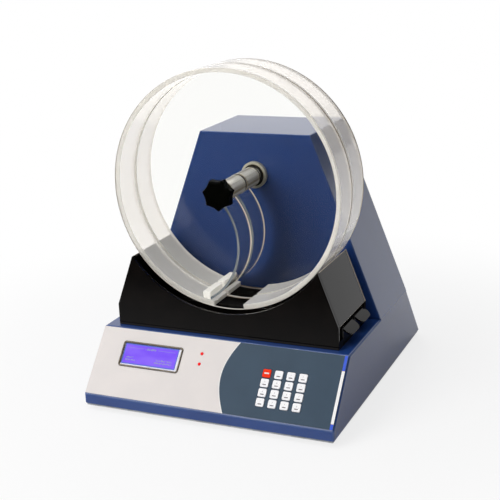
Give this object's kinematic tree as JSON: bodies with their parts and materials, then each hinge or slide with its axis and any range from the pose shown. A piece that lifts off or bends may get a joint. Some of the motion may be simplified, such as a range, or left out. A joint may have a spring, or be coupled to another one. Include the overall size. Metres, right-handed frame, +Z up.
{
  "type": "tablet friability tester",
  "caption": "Bench tester with two clear drums with curved arms turning on one shaft over pull-out trays, in front of a tapered tower, with a sloping keypad console.",
  "frame": {"origin": "on the surface that the feet stand on, under the middle of the case", "axes": "+X to the viewer's right, +Y to the back (the drums' shaft runs along Y), +Z up"},
  "size_m": [0.334, 0.3771, 0.4231],
  "materials": {
    "blue_paint": "gloss",
    "zinc_sheet": "satin",
    "black_rubber": "matte",
    "overlay_film": "satin",
    "black_acrylic": "gloss",
    "black_plastic": "satin",
    "clear_acrylic": "clear gloss",
    "bright_steel": "polished",
    "nickel": "satin",
    "key_white": "satin",
    "key_red": "satin",
    "display_violet": "lit",
    "light_red": "lit",
    "board_green": "satin"
  },
  "bodies": {
    "root": {"base_plate": "zinc_sheet", "bearing_flange": "nickel", "bearing_housing": "nickel", "chute_front_panel": "black_acrylic", "chute_left_plate": "black_acrylic", "chute_rear_panel": "black_acrylic", "chute_right_plate": "black_acrylic", "console_overlay": "overlay_film", "display_bezel": "black_plastic", "display_module": "display_violet", "foot_front_left": "black_rubber", "foot_front_right": "black_rubber", "foot_rear_left": "black_rubber", "foot_rear_right": "black_rubber", "fork_sensor": "black_plastic", "gear_motor": "zinc_sheet", "keypad_board": "board_green", "lower_case": "blue_paint", "main_board": "board_green", "power_inlet": "black_plastic", "rear_cover": "blue_paint", "shaft_bearing": "bright_steel", "shaft_seal": "black_rubber", "status_light_lower": "light_red", "status_light_upper": "light_red", "support_bracket": "zinc_sheet", "tower_case": "blue_paint", "tray_guide": "black_acrylic"},
    "drums": {"drum_shaft": "bright_steel", "counting_disc": "black_plastic", "front_drum_arm": "clear_acrylic", "front_drum_back": "clear_acrylic", "front_drum_hub": "bright_steel", "front_drum_lid": "clear_acrylic", "front_drum_wall": "clear_acrylic", "rear_drum_arm": "clear_acrylic", "rear_drum_back": "clear_acrylic", "rear_drum_hub": "bright_steel", "rear_drum_lid": "clear_acrylic", "rear_drum_wall": "clear_acrylic"},
    "knob": {"star_knob": "black_plastic"},
    "front_tray": {"front_tray": "black_acrylic"},
    "rear_tray": {"rear_tray": "black_acrylic"},
    "rocker": {"power_rocker": "black_plastic"},
    "key_r1c1": {"key_r1c1": "key_red"},
    "key_r1c2": {"key_r1c2": "key_white"},
    "key_r1c3": {"key_r1c3": "key_white"},
    "key_r1c4": {"key_r1c4": "key_white"},
    "key_r2c1": {"key_r2c1": "key_white"},
    "key_r2c2": {"key_r2c2": "key_white"},
    "key_r2c3": {"key_r2c3": "key_white"},
    "key_r2c4": {"key_r2c4": "key_white"},
    "key_r3c1": {"key_r3c1": "key_white"},
    "key_r3c2": {"key_r3c2": "key_white"},
    "key_r3c3": {"key_r3c3": "key_white"},
    "key_r3c4": {"key_r3c4": "key_white"},
    "key_r4c1": {"key_r4c1": "key_white"},
    "key_r4c2": {"key_r4c2": "key_white"},
    "key_r4c3": {"key_r4c3": "key_white"},
    "key_r4c4": {"key_r4c4": "key_white"}
  },
  "joints": [
    {"name": "drum_spin", "type": "hinge", "parent": "root", "child": "drums", "pos_m": [0, -0.06, 0.2731], "axis": [0, 1, 0], "continuous": true},
    {"name": "knob_turn", "type": "hinge", "parent": "drums", "child": "knob", "pos_m": [0, -0.112, 0.2731], "axis": [0, -1, 0], "range_deg": [0, 720]},
    {"name": "front_tray_slide", "type": "slide", "parent": "root", "child": "front_tray", "axis": [1, 0, 0], "range_m": [0, 0.24]},
    {"name": "rear_tray_slide", "type": "slide", "parent": "root", "child": "rear_tray", "axis": [1, 0, 0], "range_m": [0, 0.24]},
    {"name": "rocker_tip", "type": "hinge", "parent": "root", "child": "rocker", "pos_m": [0.05, 0.1196, 0.1551], "axis": [-1, 0, 0], "range_deg": [0, 16]},
    {"name": "key_r1c1_press", "type": "slide", "parent": "root", "child": "key_r1c1", "axis": [0, 0.7486, -0.663], "range_m": [0, 0.0006], "stiffness_N_per_m": 3300},
    {"name": "key_r1c2_press", "type": "slide", "parent": "root", "child": "key_r1c2", "axis": [0, 0.7486, -0.663], "range_m": [0, 0.0006], "stiffness_N_per_m": 3300},
    {"name": "key_r1c3_press", "type": "slide", "parent": "root", "child": "key_r1c3", "axis": [0, 0.7486, -0.663], "range_m": [0, 0.0006], "stiffness_N_per_m": 3300},
    {"name": "key_r1c4_press", "type": "slide", "parent": "root", "child": "key_r1c4", "axis": [0, 0.7486, -0.663], "range_m": [0, 0.0006], "stiffness_N_per_m": 3300},
    {"name": "key_r2c1_press", "type": "slide", "parent": "root", "child": "key_r2c1", "axis": [0, 0.7486, -0.663], "range_m": [0, 0.0006], "stiffness_N_per_m": 3300},
    {"name": "key_r2c2_press", "type": "slide", "parent": "root", "child": "key_r2c2", "axis": [0, 0.7486, -0.663], "range_m": [0, 0.0006], "stiffness_N_per_m": 3300},
    {"name": "key_r2c3_press", "type": "slide", "parent": "root", "child": "key_r2c3", "axis": [0, 0.7486, -0.663], "range_m": [0, 0.0006], "stiffness_N_per_m": 3300},
    {"name": "key_r2c4_press", "type": "slide", "parent": "root", "child": "key_r2c4", "axis": [0, 0.7486, -0.663], "range_m": [0, 0.0006], "stiffness_N_per_m": 3300},
    {"name": "key_r3c1_press", "type": "slide", "parent": "root", "child": "key_r3c1", "axis": [0, 0.7486, -0.663], "range_m": [0, 0.0006], "stiffness_N_per_m": 3300},
    {"name": "key_r3c2_press", "type": "slide", "parent": "root", "child": "key_r3c2", "axis": [0, 0.7486, -0.663], "range_m": [0, 0.0006], "stiffness_N_per_m": 3300},
    {"name": "key_r3c3_press", "type": "slide", "parent": "root", "child": "key_r3c3", "axis": [0, 0.7486, -0.663], "range_m": [0, 0.0006], "stiffness_N_per_m": 3300},
    {"name": "key_r3c4_press", "type": "slide", "parent": "root", "child": "key_r3c4", "axis": [0, 0.7486, -0.663], "range_m": [0, 0.0006], "stiffness_N_per_m": 3300},
    {"name": "key_r4c1_press", "type": "slide", "parent": "root", "child": "key_r4c1", "axis": [0, 0.7486, -0.663], "range_m": [0, 0.0006], "stiffness_N_per_m": 3300},
    {"name": "key_r4c2_press", "type": "slide", "parent": "root", "child": "key_r4c2", "axis": [0, 0.7486, -0.663], "range_m": [0, 0.0006], "stiffness_N_per_m": 3300},
    {"name": "key_r4c3_press", "type": "slide", "parent": "root", "child": "key_r4c3", "axis": [0, 0.7486, -0.663], "range_m": [0, 0.0006], "stiffness_N_per_m": 3300},
    {"name": "key_r4c4_press", "type": "slide", "parent": "root", "child": "key_r4c4", "axis": [0, 0.7486, -0.663], "range_m": [0, 0.0006], "stiffness_N_per_m": 3300}
  ]
}
